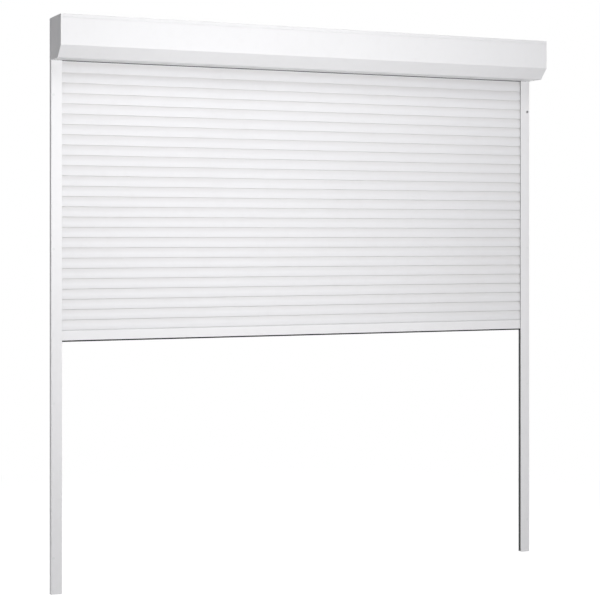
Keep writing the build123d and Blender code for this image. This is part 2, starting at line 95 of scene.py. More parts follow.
class Socket:
    """A shader value: a node's output whose Python operators add Math nodes."""

    def __init__(self, graph: "Graph", output: bpy.types.NodeSocket) -> None:
        """Wraps one output.

        Args:
            graph: The graph that the output belongs to.
            output: The output socket.
        """
        self.graph = graph
        self.output = output

    def _math(self, operation: str, *values: Any) -> "Socket":
        """Adds one Math node and returns its result.

        Args:
            operation: The Math node's operation.
            values: Its inputs in order, as sockets or numbers.

        Returns:
            The node's result.
        """
        return self.graph.node("ShaderNodeMath", {"operation": operation}, dict(enumerate(values)))

    def __add__(self, other: Any) -> "Socket":
        """The sum."""
        return self._math("ADD", self, other)

    def __radd__(self, other: Any) -> "Socket":
        """The sum with a number on the left."""
        return self._math("ADD", other, self)

    def __sub__(self, other: Any) -> "Socket":
        """The difference."""
        return self._math("SUBTRACT", self, other)

    def __rsub__(self, other: Any) -> "Socket":
        """The difference with a number on the left."""
        return self._math("SUBTRACT", other, self)

    def __mul__(self, other: Any) -> "Socket":
        """The product."""
        return self._math("MULTIPLY", self, other)

    def __rmul__(self, other: Any) -> "Socket":
        """The product with a number on the left."""
        return self._math("MULTIPLY", other, self)

    def __truediv__(self, other: Any) -> "Socket":
        """The quotient."""
        return self._math("DIVIDE", self, other)

    def __mod__(self, other: Any) -> "Socket":
        """The remainder, never negative."""
        return self._math("FLOORED_MODULO", self, other)

    def __or__(self, other: Any) -> "Socket":
        """The larger of the two, which joins masks."""
        return self._math("MAXIMUM", self, other)

    def step(self, low: float, high: float) -> "Socket":
        """A smooth rise from 0 at one value to 1 at another.

        Args:
            low: Where the result is 0.
            high: Where the result is 1.

        Returns:
            The smooth step.
        """
        settings = {"interpolation_type": "SMOOTHSTEP"}
        return self.graph.node("ShaderNodeMapRange", settings, {0: self, 1: low, 2: high})


class Graph:
    """The node tree of a material or of the world."""

    def __init__(self, owner: bpy.types.Material | bpy.types.World) -> None:
        """Empties the owner's tree.

        Args:
            owner: The material or world that the tree belongs to.
        """
        self.owner = owner
        owner.use_nodes = True
        self.tree = owner.node_tree
        self.tree.nodes.clear()
        self.places: dict[tuple[float, ...], Socket] = {}

    def node(
        self,
        kind: str,
        settings: dict[str, Any] | None = None,
        values: dict[Any, Any] | None = None,
        output: int | str = 0,
    ) -> Socket:
        """Adds any node.

        Args:
            kind: The node's type.
            settings: Its own properties, which are set first.
            values: What its sockets hold, by name or number: numbers, colours or sockets.
            output: The output to return.

        Returns:
            The chosen output.
        """
        node = self.tree.nodes.new(kind)
        for name, value in (settings or {}).items():
            setattr(node, name, value)
        for name, value in (values or {}).items():
            if isinstance(value, Socket):
                self.tree.links.new(value.output, node.inputs[name])
            else:
                node.inputs[name].default_value = value
        return Socket(self, node.outputs[output])

    def place(self, scale: Sequence[float] = (1.0, 1.0, 1.0)) -> Socket:
        """The object's own coordinates, stretched.

        Args:
            scale: How much each axis is stretched, which squeezes a pattern along it.

        Returns:
            The coordinates.
        """
        key = tuple(scale)
        if key not in self.places:
            here = self.node("ShaderNodeTexCoord", output="Object")
            self.places[key] = self.node("ShaderNodeMapping", {}, {"Vector": here, "Scale": key})
        return self.places[key]

    def noise(self, scale: float, octaves: float, stretch: Sequence[float] = (1.0, 1.0, 1.0)) -> Socket:
        """Fractal noise around 0.5.

        Args:
            scale: Features for each metre.
            octaves: How many finer layers it has.
            stretch: The coordinates' stretch.

        Returns:
            The noise's value.
        """
        values = {"Vector": self.place(stretch), "Scale": scale, "Detail": octaves, "Roughness": 0.55}
        return self.node("ShaderNodeTexNoise", {}, values)

    def cells(self, scale: float) -> Socket:
        """A random value for each cell of a crystal pattern.

        Args:
            scale: Cells for each metre.

        Returns:
            The cells' values.
        """
        values = {"Vector": self.place(), "Scale": scale}
        colour = self.node("ShaderNodeTexVoronoi", {}, values, "Color")
        return self.node("ShaderNodeSeparateColor", {}, {0: colour})

    def height(self) -> Socket:
        """The object's own Z."""
        return self.node("ShaderNodeSeparateXYZ", {}, {0: self.place()}, "Z")

    def mix(self, factor: Any, first: Any, second: Any) -> Socket:
        """A colour between two colours.

        Args:
            factor: 0 for the first and 1 for the second.
            first: A colour or a socket.
            second: A colour or a socket.

        Returns:
            The mixed colour.
        """
        values = {0: factor, 6: _rgba(first), 7: _rgba(second)}
        return self.node("ShaderNodeMix", {"data_type": "RGBA"}, values, 2)

    def bump(self, height: Socket, distance: float) -> Socket:
        """A normal that follows a height.

        Args:
            height: The height, from 0 to 1.
            distance: The height's full size in metres.

        Returns:
            The normal.
        """
        return self.node("ShaderNodeBump", {}, {"Height": height, "Distance": distance})

    def surface(self, values: dict[str, Any]) -> bpy.types.Material | bpy.types.World:
        """Ends the tree in a Principled shader.

        Args:
            values: What the shader's sockets hold.

        Returns:
            The finished material.
        """
        return self.end(self.node("ShaderNodeBsdfPrincipled", {}, values))

    def end(self, shader: Socket) -> bpy.types.Material | bpy.types.World:
        """Ends the tree in a shader.

        Args:
            shader: The shader's output.

        Returns:
            The finished material or world.
        """
        kind = "World" if isinstance(self.owner, bpy.types.World) else "Material"
        out = self.tree.nodes.new(f"ShaderNodeOutput{kind}")
        self.tree.links.new(shader.output, out.inputs["Surface"])
        return self.owner


def _rgba(value: Any) -> Any:
    """A colour with its alpha, or a socket unchanged."""
    return value if isinstance(value, Socket) else (*value, 1.0)


@dataclass(frozen=True)
class Finish:
    """What every finish has: the record's slot, a base colour and a roughness.

    In every finish, a scale is in features for each metre, a depth is in metres, an edge is the pair of noise values
    between which a patch fades in, and a share or a roughness is how much of an effect the patch adds.
    """

    slot: str
    colour: Colour
    roughness: float

    def material(self) -> bpy.types.Material:
        """The finish as a node material."""
        raise NotImplementedError

    def _streaks(self, graph: Graph, grain: Grain, fine: float, along: float = 0.02) -> Socket:
        """Fine marks along the grain.

        Args:
            graph: The material's graph.
            grain: The marks' direction.
            fine: Marks for each metre across the grain.
            along: Their number along the grain, as a share of that.

        Returns:
            The marks' value, around 0.5.
        """
        stretch = {
            Grain.NONE: (1.0, 1.0, 1.0),
            Grain.ALONG_X: (along, 1.0, 1.0),
            Grain.ALONG_Z: (1.0, 1.0, along),
            Grain.TURNED: (1.0, along, along),
        }[grain]
        return graph.noise(fine, octaves=2.0, stretch=stretch)


@dataclass(frozen=True)
class Lacquer(Finish):
    """Satin lacquer on aluminium: orange peel, faint drawn lines, clouds of dirt, and painted shade under each
    slat's lip, where the slat above shades it.
    """

    grain: Grain = Grain.ALONG_X
    peel_depth: float = 0.00003
    peel_scale: float = 330.0
    peel_share: float = 0.8
    line_scale: float = 420.0
    dust_and_shade: Colour = (0.60, 0.585, 0.55)
    dust_share: float = 0.10
    dust_roughness: float = 0.6
    cloud_scale: float = 2.3
    cloud_edge: tuple[float, float] = (0.42, 0.78)
    cloud_share: float = 0.55
    mottle_scale: float = 38.0
    mottle_edge: tuple[float, float] = (0.45, 0.8)
    mottle_roughness: float = 0.07
    pitch: float = 0.0
    pitch_start: float = 0.0
    # Painted shade under each slat's lip: how much it darkens, and the slat heights between which it fades in.
    lip_shade_share: float = 0.24
    lip_shade_edge: tuple[float, float] = (0.35, 1.0)
    height_attribute: str = ""

    def _slat_height(self, graph: Graph) -> Socket:
        """How far up its own slat a point is.

        Args:
            graph: The material's graph.

        Returns:
            0 at the slat's bottom and 1 at the next slat's.
        """
        if self.height_attribute:
            return graph.node("ShaderNodeAttribute", {"attribute_name": self.height_attribute}, output="Fac")
        return ((graph.height() - self.pitch_start) % self.pitch) / self.pitch

    def material(self) -> bpy.types.Material:
        """The lacquer as a node material.

        Returns:
            The material.
        """
        graph = Graph(bpy.data.materials.new(self.slot))
        cloud = graph.noise(self.cloud_scale, octaves=4.0)
        mottle = graph.noise(self.mottle_scale, octaves=4.0)
        lines = self._streaks(graph, self.grain, self.line_scale)
        clouded = cloud.step(*self.cloud_edge) * self.cloud_share
        mottled = mottle.step(*self.mottle_edge) * (1.0 - self.cloud_share)
        dust_and_lip_shade = (clouded + mottled) * self.dust_share
        # Painted shade: each slat darkens from about a third of its height up to its top, in place of the shadow
        # under the lip of the slat above.
        if self.pitch:
            dust_and_lip_shade = dust_and_lip_shade + self._slat_height(graph).step(*self.lip_shade_edge) * self.lip_shade_share
        peel = graph.noise(self.peel_scale, octaves=2.0)
        height = peel * self.peel_share + lines * (1.0 - self.peel_share)
        return graph.surface(
            {
                # One colour darkens both the dirt clouds and the painted lip shade, and the roughness rises with
                # both.
                "Base Color": graph.mix(dust_and_lip_shade, self.colour, self.dust_and_shade),
                "Roughness": self.roughness + mottle * self.mottle_roughness + dust_and_lip_shade * self.dust_roughness,
                "Normal": graph.bump(height, self.peel_depth),
                "Coat Weight": 0.08,
                "Coat Roughness": 0.30,
                "Specular IOR Level": 0.40,
            }
        )


@dataclass(frozen=True)
class Plastic(Finish):
    """Moulded plastic with a fine spark-eroded grain."""

    grain_scale: float = 1400.0
    grain_depth: float = 0.00004
    scuff_scale: float = 24.0
    scuff_edge: tuple[float, float] = (0.5, 0.85)
    scuff_share: float = 0.5
    scuff_shade: float = 1.25
    scuff_lift: float = 0.01
    scuff_roughness: float = 0.12

    def material(self) -> bpy.types.Material:
        """The plastic as a node material.

        Returns:
            The material.
        """
        graph = Graph(bpy.data.materials.new(self.slot))
        grain = graph.noise(self.grain_scale, octaves=2.0)
        scuffs = graph.noise(self.scuff_scale, octaves=5.0)
        scuffed = tuple(min(1.0, part * self.scuff_shade + self.scuff_lift) for part in self.colour)
        return graph.surface(
            {
                "Base Color": graph.mix(scuffs.step(*self.scuff_edge) * self.scuff_share, self.colour, scuffed),
                "Roughness": self.roughness + scuffs * self.scuff_roughness,
                "Normal": graph.bump(grain, self.grain_depth),
            }
        )


@dataclass(frozen=True)
class Rubber(Finish):
    """Extruded rubber with lengthwise draw lines and a dusty bloom."""

    line_scale: float = 700.0
    line_depth: float = 0.0001
    bloom: Colour = (0.045, 0.045, 0.046)
    bloom_scale: float = 16.0
    bloom_edge: tuple[float, float] = (0.4, 0.85)
    bloom_share: float = 0.6
    bloom_roughness: float = 0.15

    def material(self) -> bpy.types.Material:
        """The rubber as a node material.

        Returns:
            The material.
        """
        graph = Graph(bpy.data.materials.new(self.slot))
        lines = self._streaks(graph, Grain.ALONG_X, self.line_scale)
        cloud = graph.noise(self.bloom_scale, octaves=5.0)
        return graph.surface(
            {
                "Base Color": graph.mix(cloud.step(*self.bloom_edge) * self.bloom_share, self.colour, self.bloom),
                "Roughness": self.roughness + cloud * self.bloom_roughness,
                "Normal": graph.bump(lines, self.line_depth),
                "Specular IOR Level": 0.15,
            }
        )


@dataclass(frozen=True)
class Pile(Finish):
    """Dark synthetic pile whose tufts differ a little in shade."""

    tuft_scale: float = 900.0
    tuft_depth: float = 0.0004
    tuft_edge: tuple[float, float] = (0.35, 0.75)
    tuft_shade: float = 2.2

    def material(self) -> bpy.types.Material:
        """The pile as a node material.

        Returns:
            The material.
        """
        graph = Graph(bpy.data.materials.new(self.slot))
        tufts = graph.noise(self.tuft_scale, octaves=2.0)
        lighter = tuple(part * self.tuft_shade for part in self.colour)
        return graph.surface(
            {
                "Base Color": graph.mix(tufts.step(*self.tuft_edge), self.colour, lighter),
                "Roughness": self.roughness,
                "Normal": graph.bump(tufts, self.tuft_depth),
                "Sheen Weight": 0.25,
            }
        )


@dataclass(frozen=True)
class Metal(Finish):
    """Bare or zinc-coated steel with its spangle and its working marks."""

    grain: Grain = Grain.NONE
    spangle_scale: float = 0.0
    spangle_share: float = 0.4
    spangle_roughness: float = 0.14
    mark_scale: float = 900.0
    mark_depth: float = 0.00003
    mark_roughness: float = 0.12
    cloud_scale: float = 30.0
    cloud_edge: tuple[float, float] = (0.3, 0.75)
    cloud_share: float = 0.35
    dull_shade: float = 0.68

    def material(self) -> bpy.types.Material:
        """The metal as a node material.

        Returns:
            The material.
        """
        graph = Graph(bpy.data.materials.new(self.slot))
        marks = self._streaks(graph, self.grain, self.mark_scale)
        shade = graph.noise(self.cloud_scale, octaves=4.0).step(*self.cloud_edge) * self.cloud_share
        rough = self.roughness + marks * self.mark_roughness
        if self.spangle_scale:
            cells = graph.cells(self.spangle_scale)
            shade = shade + cells * self.spangle_share
            rough = rough + cells * self.spangle_roughness
        duller = tuple(part * self.dull_shade for part in self.colour)
        return graph.surface(
            {
                "Base Color": graph.mix(shade, self.colour, duller),
                "Metallic": 1.0,
                "Roughness": rough,
                "Normal": graph.bump(marks, self.mark_depth),
            }
        )


WHITE: Colour = (0.845, 0.844, 0.852)
EXTRUDED_WHITE: Colour = (0.868, 0.866, 0.874)
SLAT_WHITE: Colour = (0.824, 0.822, 0.834)
# The hanging slats' spacing, and the height of the lowest one's bottom edge.
SLAT_PITCH = 0.037
SLAT_START = -0.015

FINISHES: dict[str, Finish] = {
    finish.slot: finish
    for finish in (
        Lacquer("rail_lacquer", EXTRUDED_WHITE, 0.38, Grain.ALONG_Z),
        Lacquer("box_lacquer", WHITE, 0.40, Grain.ALONG_X, peel_depth=0.00004),
        # The slat lacquer paints shade under each slat's lip, once for every slat pitch.
        Lacquer("slat_lacquer", SLAT_WHITE, 0.42, Grain.ALONG_X, pitch=SLAT_PITCH, pitch_start=SLAT_START),
        Lacquer("bar_lacquer", EXTRUDED_WHITE, 0.38, Grain.ALONG_X),
        Lacquer("cast_lacquer", WHITE, 0.36, Grain.NONE, peel_depth=0.00012, peel_scale=650.0),
        Plastic("white_plastic", (0.80, 0.81, 0.81), 0.38),
        Plastic("clip_plastic", (0.36, 0.37, 0.38), 0.42),
        Plastic("black_plastic", (0.022, 0.022, 0.024), 0.44),
        Rubber("black_rubber", (0.016, 0.016, 0.017), 0.58),
        Pile("brush_pile", (0.012, 0.012, 0.014), 0.85),
        Metal("screw_steel", (0.62, 0.62, 0.60), 0.26, Grain.NONE),
        Metal("zinc_steel", (0.58, 0.60, 0.62), 0.34, Grain.NONE, spangle_scale=110.0),
        Metal("bearing_steel", (0.55, 0.55, 0.56), 0.18, Grain.TURNED),
        Metal("spring_steel", (0.12, 0.13, 0.16), 0.30, Grain.ALONG_X),
    )
}
# The paid-out slats read their height on their own slat from a stored attribute, for the painted lip shade.
PAID_OUT = replace(FINISHES["slat_lacquer"], height_attribute="slat_height")


class Workshop:
    """Makes materials once, dresses pieces with them and hands them to the frame."""

    def __init__(self) -> None:
        """Starts with no material made."""
        self.made: dict[str, bpy.types.Material] = {}

    def material(self, slot: str) -> bpy.types.Material:
        """The material of a slot, made when it is first asked for.

        Args:
            slot: The record's material slot.

        Returns:
            The material.
        """
        if slot not in self.made:
            self.made[slot] = FINISHES[slot].material()
        return self.made[slot]

    def dress(self, names: Iterable[str]) -> None:
        """Gives CAD nodes the materials that the record names for them.

        Args:
            names: The nodes.
        """
        slots = {part["node"]: part["material_slot"] for part in frame["record"]["subparts"]}
        for name in names:
            mesh = frame["nodes"][name].data
            mesh.materials.clear()
            mesh.materials.append(self.material(slots[name]))
            log.info("dressed %s in %s", name, slots[name])

    def piece(self, name: str, mesh: bpy.types.Mesh, slot: str) -> bpy.types.Object:
        """Makes an object of a finished mesh.

        Args:
            name: The piece's name.
            mesh: Its mesh, already in place.
            slot: Its material slot.

        Returns:
            The object, at the origin.
        """
        thing = bpy.data.objects.new(name, mesh)
        bpy.context.scene.collection.objects.link(thing)
        if not mesh.materials:
            mesh.materials.append(self.material(slot))
        log.info("made %s with %d faces", name, len(mesh.polygons))
        return thing


def smooth_by_angle(mesh: bpy.types.Mesh, degrees: float = 28.0) -> None:
    """Shades a mesh smooth and keeps its folds sharp.

    Args:
        mesh: The mesh.
        degrees: Edges that turn by more than this stay sharp.
    """
    work = bmesh.new()
    work.from_mesh(mesh)
    for face in work.faces:
        face.smooth = True
    for edge in work.edges:
        edge.smooth = edge.is_manifold and edge.calc_face_angle(0.0) < math.radians(degrees)
    work.to_mesh(mesh)
    work.free()


def extruded(
    name: str, outline: Sequence[tuple[float, float]], low: float, high: float, upright: bool = False
) -> bpy.types.Mesh:
    """A closed outline carried along X or Z, with its ends closed.

    Args:
        name: The mesh's name.
        outline: The outline's Y and Z values in order, or its X and Y values where it is upright.
        low: The lower end.
        high: The upper end.
        upright: Whether it runs along Z.

    Returns:
        The mesh, with its faces outwards.
    """
    work = bmesh.new()
    near, far = (
        [work.verts.new((a, b, end) if upright else (end, a, b)) for a, b in outline] for end in (low, high)
    )
    count = len(outline)
    for number in range(count):
        after = (number + 1) % count
        work.faces.new((near[number], near[after], far[after], far[number]))
    work.faces.new(near[::-1])
    work.faces.new(far)
    bmesh.ops.recalc_face_normals(work, faces=work.faces)
    mesh = bpy.data.meshes.new(name)
    work.to_mesh(mesh)
    work.free()
    smooth_by_angle(mesh)
    return mesh


@dataclass
class Repeater:
    """A Geometry Nodes tree that sets copies of a unit in a row and makes them real."""

    name: str
    count: int
    start: Point
    step: Point
    tree: bpy.types.NodeTree = field(init=False)

    def __post_init__(self) -> None:
        """Builds the tree with its named inputs."""
        self.tree = bpy.data.node_groups.new(f"{self.name} row", "GeometryNodeTree")
        inputs = {"Unit": "Geometry", "Count": "Int", "Start": "Vector", "Step": "Vector", "Finish": "Material"}
        for label, kind in inputs.items():
            self.tree.interface.new_socket(label, in_out="INPUT", socket_type=f"NodeSocket{kind}")
        self.tree.interface.new_socket("Row", in_out="OUTPUT", socket_type="NodeSocketGeometry")
        given = self.tree.nodes.new("NodeGroupInput").outputs
        line = self._node("GeometryNodeMeshLine", {"mode": "OFFSET"}, {
            "Count": given["Count"], "Start Location": given["Start"], "Offset": given["Step"],
        })
        copies = self._node("GeometryNodeInstanceOnPoints", {}, {
            "Points": line.outputs[0], "Instance": given["Unit"],
        })
        real = self._node("GeometryNodeRealizeInstances", {}, {0: copies.outputs[0]})
        dressed = self._node("GeometryNodeSetMaterial", {}, {
            "Geometry": real.outputs[0], "Material": given["Finish"],
        })
        out = self.tree.nodes.new("NodeGroupOutput")
        self.tree.links.new(dressed.outputs[0], out.inputs[0])

    def _node(self, kind: str, settings: dict[str, Any], values: dict[Any, Any]) -> bpy.types.Node:
        """Adds a node to the tree.

        Args:
            kind: The node's type.
            settings: Its own properties.
            values: What its sockets hold: numbers or other nodes' outputs.

        Returns:
            The node.
        """
        node = self.tree.nodes.new(kind)
        for name, value in settings.items():
            setattr(node, name, value)
        for name, value in values.items():
            if isinstance(value, bpy.types.NodeSocket):
                self.tree.links.new(value, node.inputs[name])
            else:
                node.inputs[name].default_value = value
        return node

    def row(self, unit: bpy.types.Mesh, finish: bpy.types.Material) -> bpy.types.Mesh:
        """Runs the tree on a unit.

        Args:
            unit: The mesh that is repeated.
            finish: The material of every copy.

        Returns:
            The row as one plain mesh.
        """
        holder = bpy.data.objects.new(f"{self.name} unit", unit)
        bpy.context.scene.collection.objects.link(holder)
        modifier = holder.modifiers.new("row", "NODES")
        modifier.node_group = self.tree
        given = {"Count": self.count, "Start": self.start, "Step": self.step, "Finish": finish}
        for item in self.tree.interface.items_tree:
            if item.in_out == "INPUT" and item.name in given:
                modifier[item.identifier] = given[item.name]
        graph = bpy.context.evaluated_depsgraph_get()
        mesh = bpy.data.meshes.new_from_object(holder.evaluated_get(graph))
        holder.modifiers.clear()
        bpy.data.objects.remove(holder)
        mesh.name = self.name
        mesh.materials.clear()
        mesh.materials.append(finish)
        mesh.polygons.foreach_set("material_index", [0] * len(mesh.polygons))
        return mesh


@dataclass(frozen=True)
class Tuft:
    """A cluster of three pile bundles that a brush seal repeats.

    Root and tip are a bundle's half widths along the strip, and across it a bundle is half as wide. Spread is the
    bundles' distance from each other, splay is how much further apart their tips are, and lean is how far a tip
    stands out of line.
    """

    pitch: float = 0.0015
    root: float = 0.0009
    tip: float = 0.0006
    spread: float = 0.0008
    splay: float = 0.0
    lean: float = 0.0002
    edge_share: float = 1.3

    @property
    def edge(self) -> float:
        """How far the first cluster stands in from the strip's end."""
        return self.root * self.edge_share

    def fitting(self, length: float) -> int:
        """How many clusters a strip of this length takes."""
        return int((length - 2 * self.edge) / self.pitch) + 1

    def mesh(self, start: Vector, end: Vector, across: Vector) -> bpy.types.Mesh:
        """Three leaning bundles side by side.

        Args:
            start: The middle of their roots.
            end: The middle of their tips.
            across: The unit direction in which they stand beside each other.

        Returns:
            The bundles.
        """
        work = bmesh.new()
        along = (end - start).normalized().cross(across)
        for side, lean in ((-1, self.lean), (0, -self.lean), (1, self.lean / 2)):
            rings = []
            for point, half, spread, shift in (
                (start, self.root, self.spread, 0.0),
                (end, self.tip, self.spread + self.splay, lean),
            ):
                middle = point + across * (side * spread) + along * shift
                rings.append([
                    work.verts.new(middle + across * (out * half / 2) + along * (turn * half))
                    for out, turn in ((-1, -1), (1, -1), (1, 1), (-1, 1))
                ])
            for number in range(4):
                after = (number + 1) % 4
                work.faces.new((rings[0][number], rings[0][after], rings[1][after], rings[1][number]))
            work.faces.new(rings[0][::-1])
            work.faces.new(rings[1])
        bmesh.ops.recalc_face_normals(work, faces=work.faces)
        mesh = bpy.data.meshes.new("tuft")
        work.to_mesh(mesh)
        work.free()
        return mesh


def add_bar(mesh: bpy.types.Mesh, low: Vector, high: Vector, ease_share: float = 0.25) -> None:
    """Adds a brush's backing strip, with its edges eased, to a mesh.

    Args:
        mesh: The mesh that gains it.
        low: The strip's lowest corner.
        high: Its highest corner.
        ease_share: How much of its smallest size each edge loses.
    """
    work = bmesh.new()
    size = high - low
    for vert in bmesh.ops.create_cube(work, size=1.0)["verts"]:
        vert.co = (low + high) / 2 + vert.co * size
    bmesh.ops.bevel(work, geom=work.edges[:], offset=min(size) * ease_share, segments=1, affect="EDGES")
    work.from_mesh(mesh)
    work.to_mesh(mesh)
    work.free()


@dataclass(frozen=True)
class Lamp:
    """A soft rectangular lamp: where it stands, what it faces, its width and height, and its power in watts."""

    name: str
    place: Point
    aim: Point
    size: tuple[float, float]
    power: float


@dataclass
class Studio:
    """Floor, plain soft light and the camera at the photograph's viewing angle."""

    camera_place: Point = (-2.4983, -5.6337, 0.3180)
    camera_turn: float = -0.41511
    lens: float = 96.539
    sensor: float = 36.0
    shift_y: float = -0.1043
    clip: tuple[float, float] = (0.1, 100.0)
    background: float = 1.0
    ambient: float = 0.23
    ambient_colour: Colour = (0.965, 0.955, 1.0)
    floor_size: float = 30.0
    floor_colour: float = 0.66
    floor_shading: float = 0.30
    floor_glow: float = 0.87
    floor_fade: tuple[float, float] = (1.4, 3.0)
    lamps: tuple[Lamp, ...] = (
        Lamp("high", (-0.3, -2.2, 2.6), (-0.2, 0.0, 0.7), (2.4, 1.2), 20.0),
        Lamp("left", (-0.7, -2.4, 0.6), (-0.3, 0.0, 0.6), (1.4, 0.8), 28.7),
        Lamp("right", (0.8, -2.8, 0.6), (0.5, 0.0, 0.6), (1.4, 0.8), 17.2),
        Lamp("back", (0.2, 3.2, 1.6), (0.0, 0.0, 0.5), (2.6, 1.6), 38.0),
        Lamp("over", (0.0, 0.7, 2.6), (0.0, 0.35, 1.1), (2.4, 0.6), 9.0),
        Lamp("side", (2.8, 0.5, 0.9), (1.0, 0.05, 0.6), (1.0, 1.4), 9.0),
    )

    def camera(self) -> None:
        """A level camera, because the photograph's uprights are parallel."""
        data = bpy.data.cameras.new("camera")
        data.lens, data.sensor_width, data.shift_y = self.lens, self.sensor, self.shift_y
        data.clip_start, data.clip_end = self.clip
        eye = bpy.data.objects.new("camera", data)
        eye.location = self.camera_place
        eye.rotation_euler = (math.pi / 2, 0.0, self.camera_turn)
        bpy.context.scene.collection.objects.link(eye)
        bpy.context.scene.camera = eye

    def _white_where_seen(self, graph: Graph, white: Socket, lit: Socket) -> Socket:
        """One shader for the camera, reflections and clear pieces, another for all other light.

        Args:
            graph: The graph.
            white: The shader that is seen.
            lit: The shader that lights the object.

        Returns:
            The mixed shader.
        """
        camera, glossy, through = (
            graph.node("ShaderNodeLightPath", output=f"Is {kind} Ray")
            for kind in ("Camera", "Glossy", "Transmission")
        )
        return graph.node("ShaderNodeMixShader", {}, {0: camera | glossy | through, 1: lit, 2: white})

    def floor(self, level: float) -> None:
        """A plain pale floor that the camera sees white, with the object's shadow on it.

        Args:
            level: The floor's height.
        """
        work = bmesh.new()
        bmesh.ops.create_grid(work, x_segments=1, y_segments=1, size=self.floor_size / 2)
        mesh = bpy.data.meshes.new("floor")
        work.to_mesh(mesh)
        work.free()
        mesh.transform(Matrix.Translation((0.0, 0.0, level)))
        graph = Graph(bpy.data.materials.new("floor"))
        lit, shaded = (
            graph.node("ShaderNodeBsdfDiffuse", {}, {"Color": (share, share, share, 1.0)})
            for share in (self.floor_colour, self.floor_shading)
        )
        glow, far = (
            graph.node("ShaderNodeEmission", {}, {"Color": (1.0, 1.0, 1.0, 1.0), "Strength": strength})
            for strength in (self.floor_glow, self.background)
        )
        near = graph.node("ShaderNodeAddShader", {}, {0: shaded, 1: glow})
        away = graph.node("ShaderNodeVectorMath", {"operation": "LENGTH"}, {0: graph.place()}, "Value")
        seen = graph.node("ShaderNodeMixShader", {}, {0: away.step(*self.floor_fade), 1: near, 2: far})
        mesh.materials.append(graph.end(self._white_where_seen(graph, seen, lit)))
        thing = bpy.data.objects.new("floor", mesh)
        bpy.context.scene.collection.objects.link(thing)
        thing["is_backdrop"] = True

    def world(self) -> None:
        """A plain surround: white behind the object, and an even soft light on it."""
        world = bpy.data.worlds.new("studio")
        bpy.context.scene.world = world
        graph = Graph(world)
        white, soft = (
            graph.node("ShaderNodeBackground", {}, {"Color": _rgba(colour), "Strength": strength})
            for colour, strength in (((1.0, 1.0, 1.0), self.background), (self.ambient_colour, self.ambient))
        )
        graph.end(self._white_where_seen(graph, white, soft))

    def light(self, lamp: Lamp) -> None:
        """Sets up one lamp, which no camera sees.

        Args:
            lamp: The lamp.
        """
        data = bpy.data.lights.new(lamp.name, "AREA")
        data.shape, data.energy = "RECTANGLE", lamp.power
        data.size, data.size_y = lamp.size
        thing = bpy.data.objects.new(lamp.name, data)
        thing.location = lamp.place
        thing.rotation_mode = "QUATERNION"
        thing.rotation_quaternion = (Vector(lamp.aim) - Vector(lamp.place)).to_track_quat("-Z", "Y")
        thing.visible_camera = False
        bpy.context.scene.collection.objects.link(thing)

    def build(self) -> None:
        """Camera, floor, surround and lamps."""
        self.camera()
        self.floor(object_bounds()[0].z)
        self.world()
        for lamp in self.lamps:
            self.light(lamp)
        bpy.context.scene.view_settings.view_transform = "Standard"
        log.info("studio ready")


@dataclass
class GuideRails:
    """The two extruded rails with their caps, brushes and inlet guides.

    A black lip trim, which paints the channel mouth's shade onto the lip's inner edge, starts its edge distance
    behind the rail's face, covers the rest of the front lip's edge and turns in behind the lip.
    """

    shop: Workshop
    names: tuple[str, ...] = (
        # channel_liners are black sheets inside the rails' channels, which paint the shade deep in the channels.
        "rail_left", "rail_right", "rail_foot_caps", "rail_hole_caps", "channel_liners",
        "inlet_guide_left", "inlet_guide_right",
    )
    brushes: tuple[str, ...] = (
        "brush_left_front", "brush_left_rear", "brush_right_front", "brush_right_rear",
    )
    tuft: Tuft = Tuft(root=0.001, tip=0.0009, splay=0.0010)
    backing: float = 0.0009
    front_lip: float = 0.0028
    trim: float = 0.0004
    trim_edge: float = 0.0023
    trim_turn: float = 0.0013
    box_clearance: float = 0.001

    def _brush(self, node: str) -> None:
        """A brush seal of separate tufts on its backing, in place of the CAD's plain strip.

        Args:
            node: The CAD node that it stands for.
        """
        low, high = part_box(node)
        seat, tip = (low.y, high.y) if node.endswith("front") else (high.y, low.y)
        root = seat + math.copysign(self.backing, tip - seat)
        middle = (low.x + high.x) / 2
        tuft = self.tuft
        unit = tuft.mesh(Vector((middle, root, 0.0)), Vector((middle, tip, 0.0)), Vector((1.0, 0.0, 0.0)))
        count = tuft.fitting(high.z - low.z)
        row = Repeater(f"{node}_pile", count, (0.0, 0.0, low.z + tuft.edge), (0.0, 0.0, tuft.pitch))
        pile = row.row(unit, self.shop.material("brush_pile"))
        add_bar(pile, Vector((low.x, min(seat, root), low.z)), Vector((high.x, max(seat, root), high.z)))
        thing = self.shop.piece(f"{node}_pile", pile, "brush_pile")
        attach(thing, "frame")
        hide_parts(node)

    def _lip_shade_trims(self) -> None:
        """Thin black trims on the rails' front lips, which paint the shade of the channel mouth onto the lips' inner
        edges.
        """
        low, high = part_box("rail_right")
        mouth = low.y + self.front_lip
        outline = [
            (low.x - self.trim, low.y + self.trim_edge),
            (low.x, low.y + self.trim_edge),
            (low.x, mouth),
            (low.x + self.trim_turn, mouth),
            (low.x + self.trim_turn, mouth + self.trim),
            (low.x - self.trim, mouth + self.trim),
        ]
        # Painted shade: black plastic on the lips' inner edges stands in for the shade inside the channel mouth.
        for name, side in (("lip_shade_trim_right", 1), ("lip_shade_trim_left", -1)):
            turned = [(side * x, y) for x, y in outline]
            mesh = extruded(name, turned, low.z, high.z - self.box_clearance, upright=True)
            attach(self.shop.piece(name, mesh, "black_plastic"), "frame")

    def build(self) -> None:
        """Dresses the rails and sets the brush seals and the black lip trims, which paint shade, in them."""
        self.shop.dress(self.names + self.brushes)
        for node in self.brushes:
            self._brush(node)
        self._lip_shade_trims()


